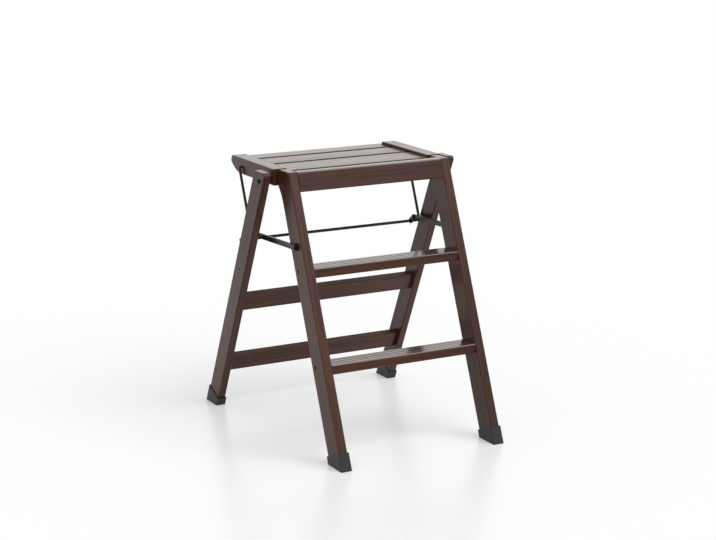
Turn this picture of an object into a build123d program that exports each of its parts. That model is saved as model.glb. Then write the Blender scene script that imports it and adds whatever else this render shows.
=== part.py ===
"""Folding wooden step stool: slatted seat, two treads, and rear legs that fold against the front frame."""

import os
from dataclasses import dataclass
from math import cos, radians, sin, tan

from build123d import *

os.makedirs("parts", exist_ok=True)

# Driving dimensions, in millimetres and degrees
frame_width = 454.0          # across the outer faces of the front stiles
seat_height = 681.0          # floor to the top of the seat rails
edge_round = 2.5             # eased edges on the timber

stile_lean = 21.9            # front stiles lean back by this angle
stile_thickness = 24.0
stile_depth = 60.0
stile_head_round = 12.0      # rear top corner of the stile, which the seat rail swings past
stile_head_gap = 1.5         # back of the stile's head to the front end of the seat rail
flare_run = 48.0             # curved widening of the stile below the seat rail

leg_lean = 24.8              # rear legs lean forward by this angle
leg_thickness = 20.5
leg_depth = 55.0
leg_top_rise = 24.0          # top of the rear leg above its pivot
leg_head_round = 9.0         # front top corner of the rear leg
leg_outset = 44.5            # rear leg's outer face beyond the stile's outer face

tread_tops = {"upper_tread": 457.5, "lower_tread": 237.0}
tread_depth = 55.0
tread_thickness = 24.0
groove_count = 3
groove_width = 3.0
groove_depth = 1.2
groove_pitch = 14.0

front_rail_height = 47.5
front_rail_thickness = 19.0

rear_rail_tops = {"rear_upper_rail": 332.0, "rear_lower_rail": 150.0}
rear_rail_thickness = 18.0
rear_rail_height = 48.5
rear_rail_setback = 12.0     # behind the front faces of the rear legs

seat_rail_height = 41.0
seat_rail_width = 38.0
seat_rail_outset = 12.0      # seat rail's outer face beyond the stile's outer face
rail_start = 34.0            # seat pivot to the front end of the seat rail
seat_reach = 283.3           # seat pivot to the rear nose of the seat rail
nose_run = 62.0              # length of the curved underside of the nose
nose_lip = 14.0              # depth of the blunt upper end of the nose
nose_tuck = 8.0              # top edge of the nose, ahead of its lip
nose_round = 8.0

slat_thickness = 16.0
slat_drop = 6.5              # slat tops below the rail tops
slat_start = 36.0            # seat pivot to the front slat's front edge
slat_widths = {"front": 93.3, "middle": 77.0, "rear": 55.0}
slat_gap = 12.0
slat_end_gap = 0.4
cleat_width = 18.0
cleat_height = 15.0
cleat_inset = 8.0            # cleat ends short of the rear slat's edge
tongue_radius = 9.5          # round end of the cleat, about the seat pivot
tongue_bend = 5.5            # bend of the cleat, ahead of the front slat

seat_pivot_drop = 13.0       # seat pivot below the top of the seat rails
seat_bolt_radius = 4.0
seat_bolt_head_radius = 6.5
seat_bolt_depth = 14.0       # bolt's length inside the stile
leg_pivot_drop = 17.0        # leg pivot below the seat pivot
leg_pivot_reach = 48.8       # leg pivot behind the seat pivot
leg_pivot_behind = 21.5      # behind the front face of the rear leg
leg_bolt_radius = 4.0
leg_bolt_depth = 24.0        # bolt's length inside the seat rail
leg_bolt_head_radius = 6.0
bolt_head_height = 3.0
spacer_radius = 8.5
washer_radius = 8.0

spreader_pivot_drop = 164.0  # spreader pivot below the seat pivot
spreader_reach = 217.3       # spreader pivot to link pivot, front to back
spreader_drop = 9.0          # link pivot below the spreader pivot
spreader_height = 13.0
spreader_thickness = 5.0
spreader_standoff = 1.5      # stile's outer face to the spreader
spreader_eye_radius = 9.5
spreader_pin_radius = 4.0
pin_head_radius = 6.5
pin_head_height = 2.5
channel_width = 6.0
channel_depth = 1.2
channel_inset = 0.09         # share of the bar left plain at each end of its channel
lug_radius = 7.0
cross_rod_radius = 3.9
cross_rod_drop = 14.0        # cross rod below the link pivot
cross_rod_tuck = 2.5         # rod ends short of the rear legs' outer faces

link_radius = 3.5
link_bend = 5.5
link_depth = 10.0            # link's upper end inside the seat rail
link_tail = 4.0              # link's lower end past the spreader
clip_radius = 6.5
clip_thickness = 1.6
clip_gap = 0.6               # clip to the spreader

foot_heights = {"front_foot": 30.0, "rear_foot": 33.5}
foot_wall = 2.8
foot_round = 2.0
sole_thickness = 4.0

dowel_radius = 4.0
dowel_length = 30.0
dowel_spread = 24.0          # between the two dowels of one joint
screw_radius = 2.2
screw_head_radius = 4.0
screw_head_height = 2.5
screw_sink = 0.6             # head's depth below the surface
tread_screw_length = 45.0
tread_fixing_spread = 25.0   # between a tread's dowel and its screw
slat_screw_length = 24.0
slat_screw_spread = 28.0
cleat_screw_length = 32.0
plug_radius = 3.0
plug_depth = 6.0
plug_height = 406.0

fit_gap = 0.05               # radial clearance of pins that turn and of pieces pushed home
loose_gap = 0.3              # radial clearance where the link meets the spreader
side_gap = 0.4               # between faces that slide past each other


@dataclass
class Post:
    """A leaning upright, seen from the side; the lean is positive when its top leans back."""

    front: float
    lean: float
    depth: float
    inner: float
    thickness: float

    def at(self, z, behind=0.0):
        """Point at a height, and behind the front face by a distance square to it."""
        slope = radians(self.lean)
        return (self.front + z * tan(slope) + behind / cos(slope), z)

    def square_height(self, z, behind):
        """Height at which a line square to the post, crossing its middle at z, meets a depth."""
        return z - (behind - self.depth / 2) * sin(radians(self.lean))


# Side faces, measured from the middle
stile_outer = frame_width / 2
stile_inner = stile_outer - stile_thickness
leg_outer = stile_outer + leg_outset
leg_inner = leg_outer - leg_thickness
rail_outer = stile_outer + seat_rail_outset
rail_inner = rail_outer - seat_rail_width
cleat_face = rail_inner - cleat_width
spreader_inner = stile_outer + spreader_standoff
spreader_outer = spreader_inner + spreader_thickness
link_side = (rail_outer + leg_inner) / 2

# Heights that follow the seat
seat_pivot_height = seat_height - seat_pivot_drop
spreader_pivot_height = seat_pivot_height - spreader_pivot_drop
leg_pivot_height = seat_pivot_height - leg_pivot_drop
leg_top = leg_pivot_height + leg_top_rise

# Uprights, placed so that the leg meets its pivot and the footprint is centred on the origin
stile = Post(0.0, stile_lean, stile_depth, stile_inner, stile_thickness)
leg = Post(0.0, -leg_lean, leg_depth, leg_inner, leg_thickness)
leg_pivot_from_stile = stile.at(seat_pivot_height, stile_depth / 2)[0] + leg_pivot_reach
leg.front = leg_pivot_from_stile - leg.at(leg_pivot_height, leg_pivot_behind)[0]
footprint_middle = (stile.at(0, -foot_wall)[0] + leg.at(0, leg_depth + foot_wall)[0]) / 2
stile.front -= footprint_middle
leg.front -= footprint_middle

# Pivots of the folding linkage; the seat, stile, spreader and link make a parallelogram
seat_pivot = stile.at(seat_pivot_height, stile_depth / 2)
spreader_pivot = stile.at(spreader_pivot_height, stile_depth / 2)
link_low = (spreader_pivot[0] + spreader_reach, spreader_pivot[1] - spreader_drop)
link_high = (
    link_low[0] + seat_pivot[0] - spreader_pivot[0],
    link_low[1] + seat_pivot[1] - spreader_pivot[1],
)
leg_pivot = leg.at(leg_pivot_height, leg_pivot_behind)
cross_rod_place = leg.at(link_low[1] - cross_rod_drop, leg_depth + cross_rod_radius + side_gap)

# Seat levels and the front and rear edges of the slats
rail_front = seat_pivot[0] + rail_start
rail_bottom = seat_height - seat_rail_height
head_back = rail_front - stile_head_gap
slat_bottom = seat_height - slat_drop - slat_thickness
cleat_bottom = slat_bottom - cleat_height
slat_edges = {}
next_edge = seat_pivot[0] + slat_start
for place, width in slat_widths.items():
    slat_edges[place] = (next_edge, next_edge + width)
    next_edge += width + slat_gap
cleat_bend = (slat_edges["front"][0] - tongue_bend, slat_bottom - cleat_height / 2)
cleat_rear = slat_edges["rear"][1] - cleat_inset

# Places of the fasteners
tread_screw_spots = {}
tread_dowel_spots = {}
for name, top in tread_tops.items():
    middle = stile.at(top)[0] + tread_depth / 2
    tread_screw_spots[name] = (middle + tread_fixing_spread / 2, top - tread_thickness / 2)
    tread_dowel_spots[name] = (middle - tread_fixing_spread / 2, top - tread_thickness / 2)
front_rail_middle = seat_height - front_rail_height / 2
front_rail_spots = [
    stile.at(front_rail_middle + step * dowel_spread, front_rail_thickness / 2) for step in (-0.5, 0.5)
]
rear_rail_middles = {}
rear_rail_spots = {}
for name, top in rear_rail_tops.items():
    upright = cos(radians(leg_lean))
    middle = top - rear_rail_height / 2 * upright
    behind = rear_rail_setback + rear_rail_thickness / 2
    rear_rail_middles[name] = leg.at(middle, behind)
    rear_rail_spots[name] = [
        leg.at(middle + step * dowel_spread * upright, behind) for step in (-0.5, 0.5)
    ]
rear_dowel_spots = [spot for spots in rear_rail_spots.values() for spot in spots]
slat_screw_side = rail_inner - cleat_width / 2
slat_screw_spots = {
    place: [(slat_screw_side, (front + rear + step * slat_screw_spread) / 2) for step in (-1, 1)]
    for place, (front, rear) in slat_edges.items()
}
cleat_slat_spots = [spot for spots in slat_screw_spots.values() for spot in spots]
cleat_rail_spots = [
    ((front + rear) / 2, slat_bottom - cleat_height / 2) for front, rear in slat_edges.values()
]
plug_place = leg.at(plug_height, leg_depth / 2)


def side(x):
    """Plane looking in from the right-hand side, Y across and Z up, at a distance from the middle."""
    return Plane.YZ.offset(x)


def discs(plane, spots, radius):
    """Sketch of equal discs on a plane."""
    with BuildSketch(plane) as sketch:
        with Locations(*spots):
            Circle(radius)
    return sketch.sketch


def bore(plane, spots, radius, depth):
    """Drill equal holes into the piece being built; a negative depth drills against the plane."""
    extrude(discs(plane, spots, radius + fit_gap), amount=depth, mode=Mode.SUBTRACT)


def pins(plane, spots, radius, length):
    """Add equal round pins to the piece being built."""
    extrude(discs(plane, spots, radius), amount=length)


def post_outline(post, bottom, top):
    """Sketch of a post from the side, cut level at both ends."""
    with BuildSketch(side(post.inner)) as sketch:
        with BuildLine():
            Polyline(
                post.at(bottom),
                post.at(bottom, post.depth),
                post.at(top, post.depth),
                post.at(top),
                close=True,
            )
        make_face()
    return sketch.sketch


def rims(piece):
    """Edges round the side faces of a piece, apart from those at its lower end."""
    return piece.faces().filter_by(Plane.YZ).edges() - piece.faces().sort_by(Axis.Z)[0].edges()


def save(piece, name):
    """Label a finished piece and write it to its own file."""
    piece.label = name
    export_step(piece, f"parts/{name}.step")


def save_pair(right, name):
    """Write the right-hand piece, and its mirror image as the left-hand one."""
    save(right.part, f"{name}_right")
    with BuildPart() as left:
        mirror(right.part, about=Plane.YZ)
    save(left.part, f"{name}_left")


def save_group(right, name):
    """Write the right-hand pieces and their mirror images as one group."""
    with BuildPart() as both:
        add(right.part)
        mirror(right.part, about=Plane.YZ)
    save(both.part, name)


# Front stile: a leaning post, widened at the head and rounded there where the seat rail swings past
with BuildPart() as front_stile:
    with BuildSketch(side(stile_inner)):
        with BuildLine():
            flare_foot = stile.at(rail_bottom - flare_run, stile_depth)
            back = Line(stile.at(sole_thickness, stile_depth), flare_foot)
            flare = TangentArc(flare_foot, (head_back, rail_bottom), tangent=back % 1)
            Polyline(
                flare @ 1,
                (head_back, seat_height),
                stile.at(seat_height),
                stile.at(sole_thickness),
                back @ 0,
            )
        make_face()
    extrude(amount=stile_thickness)
    head_corner = front_stile.edges().filter_by(Axis.X).group_by(Axis.Z)[-1].sort_by(Axis.Y)[-1]
    fillet(head_corner, radius=stile_head_round)
    fillet(rims(front_stile), radius=edge_round)
    bore(side(stile_inner), [*tread_dowel_spots.values(), *front_rail_spots], dowel_radius, dowel_length / 2)
    bore(side(stile_inner), tread_screw_spots.values(), screw_radius, stile_thickness)
    bore(side(stile_outer), tread_screw_spots.values(), screw_head_radius, -screw_head_height - screw_sink)
    bore(side(stile_inner), [spreader_pivot], spreader_pin_radius, stile_thickness)
    bore(side(stile_inner), [seat_pivot], seat_bolt_radius, seat_bolt_depth + side_gap)
save_pair(front_stile, "front_stile")

# Treads between the stiles, grooved along the top
for name, top in tread_tops.items():
    with BuildPart() as tread:
        with BuildSketch(side(-stile_inner)):
            front = stile.at(top)[0]
            with Locations((front + tread_depth / 2, top - tread_thickness / 2)):
                RectangleRounded(tread_depth, tread_thickness, edge_round)
            with Locations((front + tread_depth / 2, top)):
                with GridLocations(groove_pitch, groove_width, groove_count, 1):
                    Rectangle(groove_width, 2 * groove_depth, mode=Mode.SUBTRACT)
        extrude(amount=2 * stile_inner)
        for x, inward in ((stile_inner, -1), (-stile_inner, 1)):
            screw_depth = tread_screw_length + screw_sink - stile_thickness
            bore(side(x), [tread_screw_spots[name]], screw_radius, inward * screw_depth)
            bore(side(x), [tread_dowel_spots[name]], dowel_radius, inward * dowel_length / 2)
    save(tread.part, name)

# Front top rail: leans with the stiles and is level along its top
with BuildPart() as front_top_rail:
    with BuildSketch(side(-stile_inner)) as outline:
        with BuildLine():
            Polyline(
                stile.at(seat_height - front_rail_height),
                stile.at(seat_height - front_rail_height, front_rail_thickness),
                stile.at(seat_height, front_rail_thickness),
                stile.at(seat_height),
                close=True,
            )
        make_face()
        fillet(outline.vertices(), radius=edge_round)
    extrude(amount=2 * stile_inner)
    for x, inward in ((stile_inner, -1), (-stile_inner, 1)):
        bore(side(x), front_rail_spots, dowel_radius, inward * dowel_length / 2)
save(front_top_rail.part, "front_top_rail")

# Hidden dowels of the front frame
with BuildPart() as tread_dowels:
    pins(side(stile_inner - dowel_length / 2), tread_dowel_spots.values(), dowel_radius, dowel_length)
save_group(tread_dowels, "tread_dowels")

with BuildPart() as front_rail_dowels:
    pins(side(stile_inner - dowel_length / 2), front_rail_spots, dowel_radius, dowel_length)
save_group(front_rail_dowels, "front_rail_dowels")

# Tread screws, their heads sunk in the stiles' outer faces
with BuildPart() as tread_screws:
    pins(side(stile_outer - screw_sink), tread_screw_spots.values(), screw_head_radius, -screw_head_height)
    pins(side(stile_outer - screw_sink), tread_screw_spots.values(), screw_radius, -tread_screw_length)
save_group(tread_screws, "tread_screws")

# Seat pivot bolts: headed on the cleats' inner faces, ending blind in the stiles
with BuildPart() as seat_pivot_bolts:
    head_face = cleat_face - side_gap
    pins(side(head_face), [seat_pivot], seat_bolt_radius, stile_inner + seat_bolt_depth - head_face)
    pins(side(head_face), [seat_pivot], seat_bolt_head_radius, -bolt_head_height)
    fillet(seat_pivot_bolts.edges().sort_by(Axis.X)[0], radius=bolt_head_height / 2)
save_group(seat_pivot_bolts, "seat_pivot_bolts")

with BuildPart() as seat_pivot_washers:
    washer_thickness = stile_inner - rail_inner - side_gap
    pins(side(stile_inner), [seat_pivot], washer_radius, -washer_thickness)
    bore(side(stile_inner), [seat_pivot], seat_bolt_radius, -washer_thickness)
save_group(seat_pivot_washers, "seat_pivot_washers")

# Spreader pivot pins: through the stiles, with a round head outside each spreader
with BuildPart() as spreader_pivot_pins:
    pins(side(stile_inner), [spreader_pivot], spreader_pin_radius, spreader_outer + side_gap - stile_inner)
    pins(side(spreader_outer + side_gap), [spreader_pivot], pin_head_radius, pin_head_height)
    fillet(spreader_pivot_pins.edges().sort_by(Axis.X)[-1], radius=pin_head_height / 2)
save_group(spreader_pivot_pins, "spreader_pivot_pins")

with BuildPart() as spreader_washers:
    pins(side(stile_outer), [spreader_pivot], washer_radius, spreader_standoff - side_gap)
    bore(side(stile_outer), [spreader_pivot], spreader_pin_radius, spreader_standoff)
save_group(spreader_washers, "spreader_washers")

# Seat rail: square at the front, behind the stile, with a curved rear nose
with BuildPart() as seat_rail:
    with BuildSketch(side(rail_inner)) as outline:
        with BuildLine():
            nose = seat_pivot[0] + seat_reach
            under = Line((rail_front, rail_bottom), (nose - nose_run, rail_bottom))
            belly = TangentArc(under @ 1, (nose, seat_height - nose_lip), tangent=under % 1)
            Polyline(
                belly @ 1,
                (nose - nose_tuck, seat_height),
                (rail_front, seat_height),
                under @ 0,
            )
        make_face()
        fillet(outline.vertices().sort_by(Axis.X)[-2:], radius=nose_round)
    extrude(amount=seat_rail_width)
    fillet(seat_rail.faces().filter_by(Plane.YZ).edges(), radius=edge_round)
    bore(side(rail_outer), [leg_pivot], leg_bolt_radius, -leg_bolt_depth)
    bore(side(rail_outer), [link_high], link_radius, -link_depth - side_gap)
    bore(side(rail_inner), cleat_rail_spots, screw_radius, cleat_screw_length - cleat_width)
save_pair(seat_rail, "seat_rail")

# Three slats across the seat, screwed from below
for place, (front, rear) in slat_edges.items():
    with BuildPart() as slat:
        with BuildSketch(side(slat_end_gap - rail_inner)):
            with Locations(((front + rear) / 2, slat_bottom + slat_thickness / 2)):
                RectangleRounded(rear - front, slat_thickness, edge_round)
        extrude(amount=2 * (rail_inner - slat_end_gap))
        spots = slat_screw_spots[place]
        mirrored_spots = [(-x, y) for x, y in spots]
        screw_depth = slat_screw_length + screw_sink - cleat_height
        bore(Plane.XY.offset(slat_bottom), [*spots, *mirrored_spots], screw_radius, screw_depth)
    save(slat.part, f"seat_slat_{place}")

# Cleat under the slat ends, on the inner face of the seat rail; its front end turns on the seat pivot
with BuildPart() as seat_cleat:
    with BuildSketch(side(cleat_face)):
        with Locations(seat_pivot):
            Circle(tongue_radius)
        with Locations(cleat_bend):
            Circle(cleat_height / 2)
        make_hull()
        with Locations(cleat_bend):
            Rectangle(cleat_rear - cleat_bend[0], cleat_height, align=(Align.MIN, Align.CENTER))
    extrude(amount=cleat_width)
    bore(side(cleat_face), [seat_pivot], seat_bolt_radius, cleat_width)
    bore(Plane.XY.offset(cleat_bottom), cleat_slat_spots, screw_radius, cleat_height)
    bore(Plane.XY.offset(cleat_bottom), cleat_slat_spots, screw_head_radius, screw_head_height + screw_sink)
    bore(side(rail_inner), cleat_rail_spots, screw_radius, -cleat_width)
    head_room = screw_head_height + screw_sink
    bore(side(cleat_face), cleat_rail_spots, screw_head_radius, head_room)
save_pair(seat_cleat, "seat_cleat")

with BuildPart() as slat_screws:
    pins(Plane.XY.offset(cleat_bottom + screw_sink), cleat_slat_spots, screw_head_radius, screw_head_height)
    pins(Plane.XY.offset(cleat_bottom + screw_sink), cleat_slat_spots, screw_radius, slat_screw_length)
save_group(slat_screws, "slat_screws")

with BuildPart() as cleat_screws:
    head_plane = side(cleat_face + screw_sink)
    pins(head_plane, cleat_rail_spots, screw_head_radius, screw_head_height)
    pins(head_plane, cleat_rail_spots, screw_radius, cleat_screw_length - 2 * screw_sink)
save_group(cleat_screws, "cleat_screws")

# Bolts that the rear legs turn on, and the spacers that hold the legs off the seat rails
with BuildPart() as leg_pivot_bolts:
    bolt_start = rail_outer - leg_bolt_depth
    pins(side(bolt_start), [leg_pivot], leg_bolt_radius, leg_outer + side_gap - bolt_start)
    pins(side(leg_outer + side_gap), [leg_pivot], leg_bolt_head_radius, bolt_head_height)
    fillet(leg_pivot_bolts.edges().sort_by(Axis.X)[-1], radius=bolt_head_height / 2)
save_group(leg_pivot_bolts, "leg_pivot_bolts")

with BuildPart() as leg_spacers:
    pins(side(rail_outer), [leg_pivot], spacer_radius, leg_inner - side_gap - rail_outer)
    bore(side(rail_outer), [leg_pivot], leg_bolt_radius, leg_inner - rail_outer)
save_group(leg_spacers, "leg_spacers")

# Spreader: a channelled flat bar with an eye at the front and a lug for the link and cross rod
with BuildPart() as spreader:
    bar_front = Vector(*spreader_pivot)
    bar_rear = Vector(*link_low)
    pins(side(spreader_inner), [spreader_pivot], spreader_eye_radius, spreader_thickness)
    for ends, radius in (
        ((spreader_pivot, link_low), spreader_height / 2),
        ((link_low, cross_rod_place), lug_radius),
    ):
        with BuildSketch(side(spreader_inner)):
            with Locations(*ends):
                Circle(radius)
            make_hull()
        extrude(amount=spreader_thickness)
    channel = [bar_front + (bar_rear - bar_front) * share for share in (channel_inset, 1 - channel_inset)]
    with BuildSketch(side(spreader_outer)):
        with Locations(*[(end.X, end.Y) for end in channel]):
            Circle(channel_width / 2)
        make_hull()
    extrude(amount=-channel_depth, mode=Mode.SUBTRACT)
    bore(side(spreader_inner), [spreader_pivot], spreader_pin_radius, spreader_thickness)
    bore(side(spreader_inner), [cross_rod_place], cross_rod_radius, spreader_thickness)
    bore(side(spreader_inner), [link_low], link_radius + loose_gap - fit_gap, spreader_thickness)
save_pair(spreader, "spreader")

# Cross rod: joins the spreaders and stops the rear legs from swinging further out
with BuildPart() as cross_rod:
    rod_end = leg_outer - cross_rod_tuck
    pins(side(-rod_end), [cross_rod_place], cross_rod_radius, 2 * rod_end)
    chamfer(cross_rod.edges().filter_by(GeomType.CIRCLE), length=cross_rod_radius / 5)
save(cross_rod.part, "cross_rod")

# Link rod: bent inward at both ends, into the seat rail and through the spreader's lug
with BuildPart() as link_rod:
    with BuildLine():
        route = FilletPolyline(
            (rail_outer - link_depth, *link_high),
            (link_side, *link_high),
            (link_side, *link_low),
            (spreader_inner - link_tail, *link_low),
            radius=link_bend,
        )
    with BuildSketch(Plane(origin=route @ 0, z_dir=route % 0)):
        Circle(link_radius)
    sweep()
save_pair(link_rod, "link_rod")

# Push-on clips on the links' lower ends
with BuildPart() as link_clips:
    clip_face = side(spreader_inner - clip_gap)
    pins(clip_face, [link_low], clip_radius, -clip_thickness)
    bore(clip_face, [link_low], link_radius, -clip_thickness)
save_group(link_clips, "link_clips")

# Rear leg: a leaning post, level along the top and rounded at the front of it
with BuildPart() as rear_leg:
    extrude(post_outline(leg, sole_thickness, leg_top), amount=leg_thickness)
    head_corner = rear_leg.edges().filter_by(Axis.X).group_by(Axis.Z)[-1].sort_by(Axis.Y)[0]
    fillet(head_corner, radius=leg_head_round)
    fillet(rims(rear_leg), radius=edge_round)
    bore(side(leg_inner), [leg_pivot], leg_bolt_radius, leg_thickness)
    bore(side(leg_inner), rear_dowel_spots, dowel_radius, dowel_length / 2)
    bore(side(leg_outer), [plug_place], plug_radius, -plug_depth)
save_pair(rear_leg, "rear_leg")

# Rear rails, leaning with the legs
for name, centre in rear_rail_middles.items():
    with BuildPart() as rear_rail:
        with BuildSketch(side(-leg_inner)):
            with Locations(Location((*centre, 0), (0, 0, leg_lean))):
                RectangleRounded(rear_rail_thickness, rear_rail_height, edge_round)
        extrude(amount=2 * leg_inner)
        for x, inward in ((leg_inner, -1), (-leg_inner, 1)):
            bore(side(x), rear_rail_spots[name], dowel_radius, inward * dowel_length / 2)
    save(rear_rail.part, name)

with BuildPart() as rear_rail_dowels:
    pins(side(leg_inner - dowel_length / 2), rear_dowel_spots, dowel_radius, dowel_length)
save_group(rear_rail_dowels, "rear_rail_dowels")

# Plugs in the rear legs' outer faces
with BuildPart() as leg_plugs:
    pins(side(leg_outer), [plug_place], plug_radius, -plug_depth)
save_group(leg_plugs, "leg_plugs")

# Feet: moulded caps with a flat sole and a top edge square to the post
for name, post in (("front_foot", stile), ("rear_foot", leg)):
    with BuildPart() as foot:
        ends = (-foot_wall, post.depth + foot_wall)
        front_top, rear_top = (post.square_height(foot_heights[name], end) for end in ends)
        with BuildSketch(side(post.inner - foot_wall)):
            with BuildLine():
                Polyline(
                    post.at(0, ends[0]),
                    post.at(0, ends[1]),
                    post.at(rear_top, ends[1]),
                    post.at(front_top, ends[0]),
                    close=True,
                )
            make_face()
        extrude(amount=post.thickness + 2 * foot_wall)
        fillet(rims(foot), radius=foot_round)
        socket = post_outline(post, sole_thickness, 2 * foot_heights[name])
        extrude(socket, amount=post.thickness, mode=Mode.SUBTRACT)
    save_pair(foot, name)
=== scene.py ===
import math
from dataclasses import dataclass
from typing import Callable

import bmesh
import bpy
from bpy.props import FloatProperty, FloatVectorProperty, PointerProperty
from mathutils import Matrix, Vector


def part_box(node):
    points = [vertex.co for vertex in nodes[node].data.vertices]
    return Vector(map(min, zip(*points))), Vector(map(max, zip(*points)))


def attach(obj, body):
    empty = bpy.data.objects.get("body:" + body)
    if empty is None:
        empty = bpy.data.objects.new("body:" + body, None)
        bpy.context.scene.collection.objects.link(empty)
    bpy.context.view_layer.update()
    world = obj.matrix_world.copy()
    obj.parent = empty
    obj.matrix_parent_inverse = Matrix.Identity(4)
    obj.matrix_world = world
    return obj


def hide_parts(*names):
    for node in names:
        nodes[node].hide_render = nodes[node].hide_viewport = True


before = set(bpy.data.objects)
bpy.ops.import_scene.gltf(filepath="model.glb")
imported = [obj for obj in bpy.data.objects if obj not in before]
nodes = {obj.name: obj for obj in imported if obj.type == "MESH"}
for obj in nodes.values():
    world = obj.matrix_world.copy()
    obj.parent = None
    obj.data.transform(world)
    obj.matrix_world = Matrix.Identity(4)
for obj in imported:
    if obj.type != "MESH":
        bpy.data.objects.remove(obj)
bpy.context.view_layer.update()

bl_info = {
    "name": "Folding step stool",
    "version": (1, 0, 0),
    "blender": (4, 5, 0),
    "location": "View3D > Sidebar > Stool",
    "description": "Finishes, fasteners and studio for a folding timber step stool",
    "category": "Object",
}

# Boards, with the way that their grain runs: "X" along the width, otherwise the lean in degrees
STILE_LEAN = 21.9
LEG_LEAN = -24.8
BOARDS = {
    "front_stile_left": STILE_LEAN,
    "front_stile_right": STILE_LEAN,
    "rear_leg_left": LEG_LEAN,
    "rear_leg_right": LEG_LEAN,
    "seat_rail_left": 90.0,
    "seat_rail_right": 90.0,
    "seat_cleat_left": 90.0,
    "seat_cleat_right": 90.0,
    "upper_tread": "X",
    "lower_tread": "X",
    "front_top_rail": "X",
    "rear_upper_rail": "X",
    "rear_lower_rail": "X",
    "seat_slat_front": "X",
    "seat_slat_middle": "X",
    "seat_slat_rear": "X",
}
# Boards whose upper edges nobody rubs, boards with the hard lacquer, and slats with painted shade on
# edges
HIDDEN_TOPS = ("rear_upper_rail", "rear_lower_rail", "seat_cleat_left", "seat_cleat_right")
HARD_TOPS = ("upper_tread", "lower_tread", "front_top_rail")
SLATS = ("seat_slat_front", "seat_slat_middle", "seat_slat_rear")
DOWELS = ("tread_dowels", "front_rail_dowels", "rear_rail_dowels")
MOULDINGS = (
    "front_foot_left", "front_foot_right", "rear_foot_left", "rear_foot_right", "leg_spacers",
)
PLUGS = ("leg_plugs",)
BLACK_STEEL = (
    "spreader_left", "spreader_right", "cross_rod", "link_rod_left", "link_rod_right",
    "link_clips", "spreader_pivot_pins", "spreader_washers",
)
ZINC_STEEL = ("seat_pivot_washers",)

# Layers of the timber's grain, in waves per metre across the board both ways and along it
FIGURE = (38, 38, 1.6)
STREAK = (210, 210, 4.5)
PORES = (1100, 1100, 28)
WEAR = (9, 9, 3)
GRAIN_STEP = (0.37, 0.53, 0.29)   # shift of the grain from one board to the next, in metres
TIMBER_INDEX = 1.36          # index of refraction of the stained surface
TIMBER_SPECULAR = 0.32       # its specular level

# Heads of the screws and bolts
ROUND_SEGMENTS = 48
RIM_SHARE = 0.12             # flat rim round the recess, as a share of the head's radius
PIT_SHARE = 0.6              # depth of the recess, as a share of the head's height
PIT_TAPER = 0.86             # floor of the recess against its mouth
CROSS_ARM = 16.0             # half the spread of a cross recess's arm, in degrees
CROSS_WEB = 0.42             # inner corners of a cross recess, as a share of its reach
SHARP_ANGLE = math.radians(32)    # edges sharper than this aren't smoothed

# Studio
FLOOR_REACH = 30.0           # half the floor's width, in metres
FLOOR_DROP = 0.0002          # floor below the soles, in metres
KEY_DIRECTION = Vector((-0.30, 0.55, -0.78))   # the way that the key light shines
SENSOR_WIDTH = 36.0          # millimetres
VIEW_REACH = 200.0           # furthest that the camera sees, in metres


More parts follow.
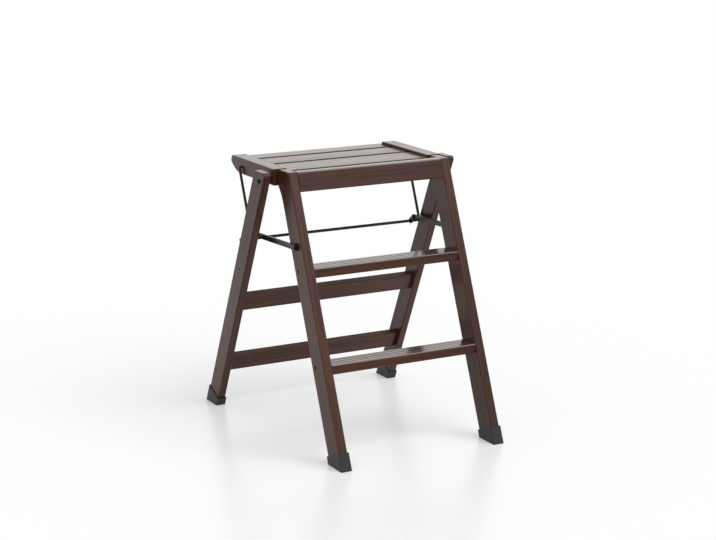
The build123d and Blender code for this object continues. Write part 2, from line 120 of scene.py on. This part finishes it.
class StoolFinish(bpy.types.PropertyGroup):
    """Colours and gloss of the stool's surfaces."""

    stain_dark: FloatVectorProperty(
        name="Dark grain", description="Stain in the pores and the late wood", subtype="COLOR",
        size=3, min=0, max=1, default=(0.022, 0.006, 0.004))
    stain_mid: FloatVectorProperty(
        name="Stain", description="Main colour of the stained timber", subtype="COLOR",
        size=3, min=0, max=1, default=(0.063, 0.021, 0.014))
    stain_light: FloatVectorProperty(
        name="Light grain", description="Stain on the early wood", subtype="COLOR",
        size=3, min=0, max=1, default=(0.110, 0.038, 0.024))
    lacquer_roughness: FloatProperty(
        name="Lacquer roughness", description="Roughness of the clear lacquer", subtype="FACTOR",
        min=0, max=1, default=0.14)
    frame_gloss: FloatProperty(
        name="Frame gloss", description="Share of clear lacquer on the boards' sides",
        subtype="FACTOR", min=0, max=1, default=0.14)
    top_gloss: FloatProperty(
        name="Top gloss", description="Share of clear lacquer on the level tops, rubbed by use",
        subtype="FACTOR", min=0, max=1, default=0.85)
    tread_gloss: FloatProperty(
        name="Tread gloss", description="Share of hard lacquer on the treads and the front rail",
        subtype="FACTOR", min=0, max=1, default=1.0)
    tread_index: FloatProperty(
        name="Tread index", description="Index of refraction of the hard lacquer",
        min=1, max=3, default=2.0)
    # Painted shade on the slats' edges where they show in the gaps between slats
    gap_shade_depth: FloatProperty(
        name="Edge depth", description="Depth of the painted shade on the slats' edges in the gaps",
        unit="LENGTH", default=0.005)
    gap_shade_share: FloatProperty(
        name="Gap shade", description="Share of the stain's colour left under the painted shade on the slats' edges",
        subtype="FACTOR", min=0, max=1, default=0.2)
    top_fade: FloatProperty(
        name="Top fade", description="Depth over which the rubbed gloss of a top fades out",
        unit="LENGTH", default=0.0012)
    tread_fade: FloatProperty(
        name="Tread fade", description="Depth over which a tread's gloss fades out on its edge",
        unit="LENGTH", default=0.004)
    lacquer_tint: FloatVectorProperty(
        name="Lacquer tint", description="Faint amber of the clear lacquer", subtype="COLOR",
        size=3, min=0, max=1, default=(1.0, 0.975, 0.915))
    lacquer_index: FloatProperty(
        name="Lacquer index", description="Index of refraction of the clear lacquer",
        min=1, max=3, default=1.36)
    dowel_wood: FloatVectorProperty(
        name="Dowel wood", description="Unstained hardwood of the dowels", subtype="COLOR",
        size=3, min=0, max=1, default=(0.55, 0.36, 0.19))
    plastic: FloatVectorProperty(
        name="Foot plastic", description="Moulded plastic of the feet and spacers", subtype="COLOR",
        size=3, min=0, max=1, default=(0.009, 0.009, 0.009))
    black_steel: FloatVectorProperty(
        name="Black steel", description="Black coating of the rods and bars", subtype="COLOR",
        size=3, min=0, max=1, default=(0.006, 0.006, 0.006))
    dull_shine: FloatProperty(
        name="Dull shine", description="Shine of the sunk screws and of the leg plugs",
        subtype="FACTOR", min=0, max=1, default=0.04)
    zinc: FloatVectorProperty(
        name="Zinc plate", description="Bright plate of the screws and bolts", subtype="COLOR",
        size=3, min=0, max=1, default=(0.62, 0.62, 0.60))


class StoolFasteners(bpy.types.PropertyGroup):
    """Sizes of the screws and bolts that show."""

    screw_shank: FloatProperty(
        name="Screw shank", description="Radius of a screw's shank", unit="LENGTH", default=0.0022)
    screw_head: FloatProperty(
        name="Screw head", description="Height of a screw's head", unit="LENGTH", default=0.0025)
    screw_drive: FloatProperty(
        name="Screw drive", description="Reach of the cross recess in a screw's head", unit="LENGTH",
        default=0.0023)
    screw_crown: FloatProperty(
        name="Screw crown", description="Rounding of a screw's head", unit="LENGTH", default=0.0004)
    bolt_shank: FloatProperty(
        name="Bolt shank", description="Radius of a pivot bolt's shank", unit="LENGTH", default=0.004)
    bolt_head: FloatProperty(
        name="Bolt head", description="Height of a pivot bolt's head", unit="LENGTH", default=0.003)
    bolt_drive: FloatProperty(
        name="Bolt drive", description="Half the width of the hexagon socket in a bolt's head",
        unit="LENGTH", default=0.0025)
    bolt_crown: FloatProperty(
        name="Bolt crown", description="Rounding of a bolt's head", unit="LENGTH", default=0.0011)


class StoolStudio(bpy.types.PropertyGroup):
    """Camera and light of the studio."""

    camera_place: FloatVectorProperty(
        name="Camera", description="Place of the camera", subtype="TRANSLATION", unit="LENGTH",
        size=3, default=(-2.1545, -3.9769, 1.4727))
    camera_turn: FloatProperty(
        name="Camera turn", description="Turn of the camera round the vertical", subtype="ANGLE",
        default=math.radians(-28.48))
    camera_tilt: FloatProperty(
        name="Camera tilt", description="Tilt of the camera up from straight down", subtype="ANGLE",
        default=math.radians(76.64))
    lens: FloatProperty(
        name="Lens", description="Focal length on a sensor 36 mm wide", unit="CAMERA", default=91.59)
    sky: FloatProperty(
        name="Soft light", description="Strength of the even light from all round", default=0.42)
    key: FloatProperty(
        name="Key light", description="Strength of the broad light at the front", default=1.5)
    key_spread: FloatProperty(
        name="Key spread", description="Width of the broad light, as an angle", subtype="ANGLE",
        default=math.radians(50))
    floor_glow: FloatProperty(
        name="Floor glow", description="Light that the floor adds to its own picture", default=0.375)
    floor_sheen: FloatProperty(
        name="Floor sheen", description="Share of the floor's faint sheen", subtype="FACTOR",
        min=0, max=1, default=0.22)
    floor_roughness: FloatProperty(
        name="Floor roughness", description="Roughness of the floor's faint sheen", subtype="FACTOR",
        min=0, max=1, default=0.28)
    floor_colour: FloatVectorProperty(
        name="Floor", description="Colour of the plain floor", subtype="COLOR",
        size=3, min=0, max=1, default=(0.86, 0.86, 0.86))


class Shade:
    """A shader socket whose sums, differences and products are Math nodes."""

    def __init__(self, finish, socket):
        self.finish = finish
        self.socket = socket

    def _math(self, operation, first, second):
        node = self.finish.node("ShaderNodeMath", {"operation": operation}, {0: first, 1: second})
        return self.finish.out(node, 0)

    def __add__(self, other):
        return self._math("ADD", self, other)

    def __radd__(self, other):
        return self._math("ADD", other, self)

    def __sub__(self, other):
        return self._math("SUBTRACT", self, other)

    def __rsub__(self, other):
        return self._math("SUBTRACT", other, self)

    def __mul__(self, other):
        return self._math("MULTIPLY", self, other)

    def __rmul__(self, other):
        return self._math("MULTIPLY", other, self)

    def largest(self, other):
        """The larger of two values."""
        return self._math("MAXIMUM", self, other)


class Finish:
    """Builds one node tree, for a material or for the world."""

    def __init__(self, owner):
        owner.use_nodes = True
        self.owner = owner
        self.tree = owner.node_tree
        self.tree.nodes.clear()

    def node(self, kind, settings=None, inputs=None):
        """A node of any type: its settings are set first, then its sockets get values or links."""
        made = self.tree.nodes.new(kind)
        for name, value in (settings or {}).items():
            if name == "stops":
                ramp = made.color_ramp
                while len(ramp.elements) < len(value):
                    ramp.elements.new(0.5)
                for element, (place, tint) in zip(ramp.elements, value):
                    element.position = place
                    element.color = (*tint, 1)
            else:
                setattr(made, name, value)
        for name, value in (inputs or {}).items():
            if isinstance(value, Shade):
                self.tree.links.new(value.socket, made.inputs[name])
            else:
                made.inputs[name].default_value = value
        return made

    def out(self, node, name):
        """An output of a node, ready for sums."""
        return Shade(self, node.outputs[name])

    def place(self, turn=(0, 0, 0), shift=(0, 0, 0), stretch=(1, 1, 1)):
        """Object coordinates, turned and shifted and then stretched along a piece's own axes."""
        raw = self.out(self.node("ShaderNodeTexCoord"), "Object")
        turned = self.node(
            "ShaderNodeMapping", None, {"Vector": raw, "Rotation": turn, "Location": shift})
        spread = self.node(
            "ShaderNodeMapping", None, {"Vector": self.out(turned, 0), "Scale": stretch})
        return self.out(spread, 0)

    def height(self):
        """Height in object coordinates."""
        raw = self.out(self.node("ShaderNodeTexCoord"), "Object")
        return self.out(self.node("ShaderNodeSeparateXYZ", None, {"Vector": raw}), "Z")

    def noise(self, vector, scale=1.0, detail=3.0, roughness=0.55, distortion=0.0):
        """Even noise between 0 and 1."""
        made = self.node("ShaderNodeTexNoise", None, {
            "Vector": vector, "Scale": scale, "Detail": detail, "Roughness": roughness,
            "Distortion": distortion})
        return self.out(made, "Fac")

    def spread(self, value, low, high, to_low=0.0, to_high=1.0):
        """A value's band stretched onto another band, with its ends held."""
        made = self.node("ShaderNodeMapRange", {"clamp": True}, {
            "Value": value, "From Min": low, "From Max": high, "To Min": to_low, "To Max": to_high})
        return self.out(made, 0)

    def ramp(self, value, stops):
        """Colours along a value."""
        return self.out(self.node("ShaderNodeValToRGB", {"stops": stops}, {"Fac": value}), "Color")

    def mixed(self, share, first, second):
        """A colour between two others."""
        made = self.node("ShaderNodeMix", {"data_type": "RGBA"}, {0: share, 6: first, 7: second})
        return self.out(made, 2)

    def dimmed(self, tint, share):
        """A colour brought down to a share of itself."""
        made = self.node(
            "ShaderNodeVectorMath", {"operation": "SCALE"}, {"Vector": tint, "Scale": share})
        return self.out(made, 0)

    def bump(self, height, strength, distance):
        """A surface normal from heights."""
        made = self.node("ShaderNodeBump", None, {
            "Height": height, "Strength": strength, "Distance": distance})
        return self.out(made, "Normal")

    def surface(self, **inputs):
        """The finished surface, with its sockets named by words joined with underscores."""
        named = {
            name.replace("_", " ").title().replace("Ior", "IOR"): value
            for name, value in inputs.items()}
        shader = self.node("ShaderNodeBsdfPrincipled", None, named)
        self.node("ShaderNodeOutputMaterial", None, {"Surface": self.out(shader, 0)})
        return self.owner


def colour(value):
    """A colour property as a socket takes it."""
    return (*value, 1.0)


def toned(base, share):
    """A colour made darker or lighter by a share."""
    return tuple(min(1, part * share) for part in base)


def stained_timber(board, grain, shift, look):
    """Dark red-brown stained timber under a clear lacquer, with more gloss on a level top.

    A slat's edges get painted shade where they show in the gaps, and a tread's top has the harder
    lacquer.
    """
    made = Finish(bpy.data.materials.new(f"stained_{board}"))
    turn = (0, math.radians(90), 0) if grain == "X" else (math.radians(grain), 0, 0)
    figure = made.noise(made.place(turn, shift, FIGURE), 1.0, 3.0, 0.55, 0.4)
    streak = made.noise(made.place(turn, shift, STREAK), 1.0, 4.0, 0.6, 0.2)
    pores = made.noise(made.place(turn, shift, PORES), 1.0, 2.0, 0.5)
    worn = made.noise(made.place(turn, shift, WEAR), 1.0, 2.0, 0.5)
    tone = figure * 0.45 + streak * 0.40 + pores * 0.15
    stain = made.ramp(tone, (
        (0.34, tuple(look.stain_dark)),
        (0.50, tuple(look.stain_mid)),
        (0.66, tuple(look.stain_light)),
    ))
    rough = made.spread(pores * 0.5 + worn * 0.5, 0.35, 0.65, 0.24, 0.38)
    open_pores = made.spread(pores, 0.30, 0.46)
    normal = made.bump(open_pores * 0.7 + streak * 0.3, 0.16, 0.0004)

    gloss = look.frame_gloss
    index = look.lacquer_index
    if board not in HIDDEN_TOPS:
        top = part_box(board)[1].z
        full = top - 0.2 * look.top_fade
        smooth = figure * 0.5 + streak * 0.5
        if board in HARD_TOPS:
            rubbed = made.spread(made.height(), top - look.tread_fade, full)
            even = made.spread(smooth, 0.36, 0.60, 0.85 * look.tread_gloss, look.tread_gloss)
            gloss = rubbed * even
            index = look.tread_index
        else:
            rubbed = made.spread(made.height(), top - look.top_fade, full)
            even = made.spread(smooth, 0.36, 0.60, 0.7 * look.top_gloss, look.top_gloss)
            gloss = rubbed * (even - look.frame_gloss) + look.frame_gloss
        # Painted shade: a band just below a slat's top is darkened, standing in for the shade in the
        # gaps between slats
        if board in SLATS:
            upper = made.spread(made.height(), top - 2 * look.gap_shade_depth, top - look.gap_shade_depth)
            stain = made.mixed(upper - rubbed, stain, made.dimmed(stain, look.gap_shade_share))
    return made.surface(
        base_color=stain, roughness=rough, normal=normal,
        ior=TIMBER_INDEX, specular_ior_level=TIMBER_SPECULAR, specular_tint=colour(look.lacquer_tint),
        coat_weight=gloss, coat_roughness=look.lacquer_roughness, coat_ior=index,
        coat_tint=colour(look.lacquer_tint))


def plain_timber(name, look):
    """Unstained hardwood."""
    made = Finish(bpy.data.materials.new(name))
    streak = made.noise(made.place((0, math.radians(90), 0), (0, 0, 0), (300, 300, 12)), 1.0, 3.0)
    base = tuple(look.dowel_wood)
    tint = made.ramp(streak, ((0.3, toned(base, 0.72)), (0.7, base)))
    return made.surface(
        base_color=tint, roughness=made.spread(streak, 0.3, 0.7, 0.5, 0.65),
        normal=made.bump(streak, 0.2, 0.0003))


def moulded_plastic(name, look, shine=0.35):
    """Black moulded plastic with a fine spark-eroded texture and scuffs."""
    made = Finish(bpy.data.materials.new(name))
    spark = made.noise(made.place(stretch=(1700, 1700, 1700)), 1.0, 2.0, 0.6)
    scuff = made.noise(made.place(stretch=(60, 60, 22)), 1.0, 4.0, 0.65)
    base = tuple(look.plastic)
    tint = made.ramp(scuff, ((0.42, base), (0.72, toned(base, 2.1))))
    rough = made.spread(scuff * 0.6 + spark * 0.4, 0.35, 0.65, 0.36, 0.56)
    return made.surface(
        base_color=tint, roughness=rough, specular_ior_level=shine,
        normal=made.bump(spark, 0.22, 0.00012))


def coated_steel(name, look, shine=0.3):
    """Black coated steel, slightly uneven and rubbed."""
    made = Finish(bpy.data.materials.new(name))
    peel = made.noise(made.place(stretch=(420, 420, 420)), 1.0, 2.0, 0.5)
    rub = made.noise(made.place(stretch=(120, 34, 34)), 1.0, 4.0, 0.6)
    base = tuple(look.black_steel)
    tint = made.ramp(rub, ((0.45, base), (0.75, toned(base, 2.6))))
    rough = made.spread(rub, 0.35, 0.65, 0.22, 0.36)
    return made.surface(
        base_color=tint, roughness=rough, specular_ior_level=shine,
        normal=made.bump(peel, 0.12, 0.00015))


def zinc_plate(name, look):
    """Bright zinc plate with fine turning marks."""
    made = Finish(bpy.data.materials.new(name))
    cloud = made.noise(made.place(stretch=(260, 260, 260)), 1.0, 3.0, 0.6)
    lines = made.noise(made.place(stretch=(90, 2600, 2600)), 1.0, 1.0, 0.5)
    base = tuple(look.zinc)
    tint = made.ramp(cloud, ((0.35, toned(base, 0.78)), (0.65, base)))
    rough = made.spread(cloud * 0.6 + lines * 0.4, 0.35, 0.65, 0.24, 0.40)
    return made.surface(
        base_color=tint, roughness=rough, metallic=1.0, normal=made.bump(lines, 0.1, 0.00008))


def seen_directly(made):
    """1 for rays of the camera, of reflections and of clear materials, otherwise 0."""
    path = made.node("ShaderNodeLightPath")
    seen = made.out(path, "Is Camera Ray").largest(made.out(path, "Is Glossy Ray"))
    return seen.largest(made.out(path, "Is Transmission Ray"))


def dress(names, material):
    """Give CAD nodes a finish in place of their plain one."""
    for name in names:
        slots = nodes[name].data.materials
        slots.clear()
        slots.append(material)


def solids_of(node):
    """Lowest and highest corners of each separate solid of a CAD node."""
    shape = bmesh.new()
    shape.from_mesh(nodes[node].data)
    bmesh.ops.remove_doubles(shape, verts=shape.verts, dist=1e-6)
    left = set(shape.verts)
    boxes = []
    while left:
        seed = left.pop()
        island, edge = {seed}, [seed]
        while edge:
            for link in edge.pop().link_edges:
                for vert in link.verts:
                    if vert in left:
                        left.remove(vert)
                        island.add(vert)
                        edge.append(vert)
        spots = [vert.co for vert in island]
        low = Vector([min(spot[axis] for spot in spots) for axis in range(3)])
        high = Vector([max(spot[axis] for spot in spots) for axis in range(3)])
        boxes.append((low, high))
    shape.free()
    return sorted(boxes, key=lambda box: tuple(round(c, 5) for c in box[0]))


def cross_reach(angle, reach):
    """Distance from the middle to the edge of a cross recess, at an angle."""
    off_arm = abs((math.degrees(angle) + 45) % 90 - 45)
    return reach if off_arm < CROSS_ARM else reach * CROSS_WEB


def hexagon_reach(angle, half_width):
    """Distance from the middle to the edge of a hexagon, at an angle."""
    off_flat = (math.degrees(angle) + 30) % 60 - 30
    return half_width / math.cos(math.radians(off_flat))


@dataclass
class Fastener:
    """One kind of screw or bolt: its sizes, and the outline of the recess in its head."""

    shank: float
    height: float
    drive: float
    crown: float
    reach_at: Callable


def drawn_out(shape, face, rise):
    """Extrude a face straight up or down, and give the vertices of its copy."""
    parts = bmesh.ops.extrude_face_region(shape, geom=[face])["geom"]
    verts = [part for part in parts if isinstance(part, bmesh.types.BMVert)]
    bmesh.ops.translate(shape, verts=verts, vec=(0, 0, rise))
    return verts


def add_fastener(shape, kind, radius, length):
    """Add a screw or bolt to a bmesh, with its head's underside at the origin and its shank down."""
    start = set(shape.verts)

    def faces():
        return [face for face in shape.faces if not start & set(face.verts)]

    def level(face):
        return face.calc_center_median().z

    disc = bmesh.ops.create_circle(
        shape, cap_ends=True, segments=ROUND_SEGMENTS, radius=radius)["verts"]
    under = disc[0].link_faces[0]
    if under.normal.z > 0:
        under.normal_flip()
    drawn_out(shape, under, kind.height)
    bmesh.ops.bevel(
        shape, geom=list(max(faces(), key=level).edges), offset=kind.crown, offset_type="OFFSET",
        segments=4, profile=0.5, affect="EDGES", material=-1)

    # Recess for the driver
    top = max(faces(), key=level)
    bmesh.ops.inset_region(shape, faces=[top], thickness=radius * RIM_SHARE, use_even_offset=True)
    for vert in top.verts:
        angle = math.atan2(vert.co.y, vert.co.x)
        reach = kind.reach_at(angle, kind.drive)
        vert.co.x, vert.co.y = reach * math.cos(angle), reach * math.sin(angle)
    pit = drawn_out(shape, top, -kind.height * PIT_SHARE)
    bmesh.ops.scale(shape, verts=pit, vec=(PIT_TAPER, PIT_TAPER, 1))
    bmesh.ops.delete(shape, geom=[top], context="FACES_ONLY")

    # Shank
    seat = min(faces(), key=level)
    bmesh.ops.inset_region(
        shape, faces=[seat], thickness=radius - kind.shank, use_even_offset=True)
    drawn_out(shape, seat, kind.height - length)
    bmesh.ops.delete(shape, geom=[seat], context="FACES_ONLY")
    return [vert for vert in shape.verts if vert not in start]


def drive_in(node, body, material, facing, kind):
    """Make the fasteners of a CAD node, each where its solid is, as one piece that replaces it."""
    shape = bmesh.new()
    for low, high in solids_of(node):
        middle = (low + high) / 2
        out = facing(middle)
        axis = max(range(3), key=lambda i: abs(out[i]))
        length = high[axis] - low[axis]
        radius = max(high[i] - low[i] for i in range(3) if i != axis) / 2
        verts = add_fastener(shape, kind, radius, length)
        head_place = middle.copy()
        head_place[axis] = (high if out[axis] > 0 else low)[axis]
        turn = out.to_track_quat("Z", "Y").to_matrix().to_4x4()
        seat = Matrix.Translation(head_place - out * kind.height) @ turn
        bmesh.ops.transform(shape, matrix=seat, verts=verts)
    bmesh.ops.recalc_face_normals(shape, faces=shape.faces)
    name = f"{node}_driven"
    mesh = bpy.data.meshes.new(name)
    shape.to_mesh(mesh)
    shape.free()
    mesh.materials.append(material)
    for face in mesh.polygons:
        face.use_smooth = True
    mesh.set_sharp_from_angle(angle=SHARP_ANGLE)
    piece = bpy.data.objects.new(name, mesh)
    bpy.context.scene.collection.objects.link(piece)
    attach(piece, body)
    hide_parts(node)


def outward(middle):
    """Away from the middle of the stool."""
    return Vector((math.copysign(1, middle.x), 0, 0))


def inward(middle):
    """Towards the middle of the stool."""
    return -outward(middle)


def downward(middle):
    """Straight down."""
    return Vector((0, 0, -1))


class STOOL_OT_timber(bpy.types.Operator):
    """Stain and lacquer every board, each with its own run of grain"""

    bl_idname = "stool.timber"
    bl_label = "Timber"

    def execute(self, context):
        look = context.scene.stool_finish
        for index, (name, grain) in enumerate(BOARDS.items()):
            shift = tuple(step * index for step in GRAIN_STEP)
            dress([name], stained_timber(name, grain, shift, look))
        dress(DOWELS, plain_timber("dowel_wood", look))
        return {"FINISHED"}


class STOOL_OT_mouldings(bpy.types.Operator):
    """Give the feet, spacers and plugs their moulded plastic"""

    bl_idname = "stool.mouldings"
    bl_label = "Mouldings"

    def execute(self, context):
        look = context.scene.stool_finish
        dress(MOULDINGS, moulded_plastic("moulded_plastic", look))
        dress(PLUGS, moulded_plastic("dull_plug", look, look.dull_shine))
        return {"FINISHED"}


class STOOL_OT_rods(bpy.types.Operator):
    """Give the spreaders, rods, pins and washers their steel"""

    bl_idname = "stool.rods"
    bl_label = "Rods and bars"

    def execute(self, context):
        look = context.scene.stool_finish
        dress(BLACK_STEEL, coated_steel("coated_steel", look))
        dress(ZINC_STEEL, zinc_plate("zinc_washer", look))
        return {"FINISHED"}


class STOOL_OT_screws(bpy.types.Operator):
    """Make the wood screws, with a cross recess in each head"""

    bl_idname = "stool.screws"
    bl_label = "Screws"

    def execute(self, context):
        size = context.scene.stool_fasteners
        look = context.scene.stool_finish
        kind = Fastener(
            size.screw_shank, size.screw_head, size.screw_drive, size.screw_crown, cross_reach)
        bright = zinc_plate("zinc_screw", look)
        dark = coated_steel("coated_screw", look, look.dull_shine)
        drive_in("tread_screws", "front_frame", dark, outward, kind)
        drive_in("slat_screws", "seat", bright, downward, kind)
        drive_in("cleat_screws", "seat", bright, inward, kind)
        return {"FINISHED"}


class STOOL_OT_bolts(bpy.types.Operator):
    """Make the pivot bolts, with a hexagon socket in each head"""

    bl_idname = "stool.bolts"
    bl_label = "Pivot bolts"

    def execute(self, context):
        size = context.scene.stool_fasteners
        look = context.scene.stool_finish
        kind = Fastener(
            size.bolt_shank, size.bolt_head, size.bolt_drive, size.bolt_crown, hexagon_reach)
        dark = coated_steel("coated_bolt", look)
        bright = zinc_plate("zinc_bolt", look)
        drive_in("leg_pivot_bolts", "seat", dark, outward, kind)
        drive_in("seat_pivot_bolts", "front_frame", bright, inward, kind)
        return {"FINISHED"}


class STOOL_OT_stage(bpy.types.Operator):
    """Set the plain floor, the soft studio light and the camera"""

    bl_idname = "stool.stage"
    bl_label = "Stage"

    def execute(self, context):
        scene = context.scene
        studio = scene.stool_studio
        shape = bmesh.new()
        bmesh.ops.create_grid(shape, x_segments=1, y_segments=1, size=FLOOR_REACH)
        bmesh.ops.translate(shape, verts=shape.verts, vec=(0, 0, -FLOOR_DROP))
        mesh = bpy.data.meshes.new("studio_floor")
        shape.to_mesh(mesh)
        shape.free()
        paint = Finish(bpy.data.materials.new("studio_floor"))
        matt = paint.node("ShaderNodeBsdfDiffuse", None, {"Color": colour(studio.floor_colour)})
        glow = paint.node(
            "ShaderNodeEmission", None, {"Strength": seen_directly(paint) * studio.floor_glow})
        both = paint.node("ShaderNodeAddShader", None, {0: paint.out(matt, 0), 1: paint.out(glow, 0)})
        sheen = paint.node("ShaderNodeBsdfGlossy", None, {"Roughness": studio.floor_roughness})
        faced = paint.node("ShaderNodeMixShader", None, {
            0: studio.floor_sheen, 1: paint.out(both, 0), 2: paint.out(sheen, 0)})
        paint.node("ShaderNodeOutputMaterial", None, {"Surface": paint.out(faced, 0)})
        mesh.materials.append(paint.owner)
        floor = bpy.data.objects.new("studio_floor", mesh)
        scene.collection.objects.link(floor)

        lamp = bpy.data.lights.new("key_light", "SUN")
        lamp.energy = studio.key
        lamp.angle = studio.key_spread
        light = bpy.data.objects.new("key_light", lamp)
        light.rotation_euler = KEY_DIRECTION.to_track_quat("-Z", "Y").to_euler()
        scene.collection.objects.link(light)

        scene.world = bpy.data.worlds.new("studio_world")
        sky = Finish(scene.world)
        strength = seen_directly(sky) * (1 - studio.sky) + studio.sky
        air = sky.node("ShaderNodeBackground", None, {"Color": (1, 1, 1, 1), "Strength": strength})
        sky.node("ShaderNodeOutputWorld", None, {"Surface": sky.out(air, 0)})

        lens = bpy.data.cameras.new("camera")
        lens.sensor_fit = "HORIZONTAL"
        lens.sensor_width = SENSOR_WIDTH
        lens.lens = studio.lens
        lens.clip_end = VIEW_REACH
        camera = bpy.data.objects.new("camera", lens)
        camera.location = studio.camera_place
        camera.rotation_euler = (studio.camera_tilt, 0, studio.camera_turn)
        scene.collection.objects.link(camera)
        scene.camera = camera
        scene.view_settings.view_transform = "Standard"
        return {"FINISHED"}


OPERATORS = (
    STOOL_OT_timber, STOOL_OT_mouldings, STOOL_OT_rods, STOOL_OT_screws, STOOL_OT_bolts,
    STOOL_OT_stage,
)
GROUPS = {"stool_finish": StoolFinish, "stool_fasteners": StoolFasteners, "stool_studio": StoolStudio}


class STOOL_PT_panel(bpy.types.Panel):
    """Lists the stool's steps and settings in the sidebar."""

    bl_label = "Folding step stool"
    bl_idname = "STOOL_PT_panel"
    bl_space_type = "VIEW_3D"
    bl_region_type = "UI"
    bl_category = "Stool"

    def draw(self, context):
        for operator in OPERATORS:
            self.layout.operator(operator.bl_idname)
        for group, kind in GROUPS.items():
            values = getattr(context.scene, group)
            box = self.layout.box()
            for name in kind.__annotations__:
                box.prop(values, name)


def register():
    for kind in (*GROUPS.values(), *OPERATORS, STOOL_PT_panel):
        bpy.utils.register_class(kind)
    for name, kind in GROUPS.items():
        setattr(bpy.types.Scene, name, PointerProperty(type=kind))


def unregister():
    for name in GROUPS:
        delattr(bpy.types.Scene, name)
    for kind in reversed((*GROUPS.values(), *OPERATORS, STOOL_PT_panel)):
        bpy.utils.unregister_class(kind)


def main():
    register()
    bpy.ops.stool.timber()
    bpy.ops.stool.mouldings()
    bpy.ops.stool.rods()
    bpy.ops.stool.screws()
    bpy.ops.stool.bolts()
    bpy.ops.stool.stage()


if __name__ == "__main__":
    main()
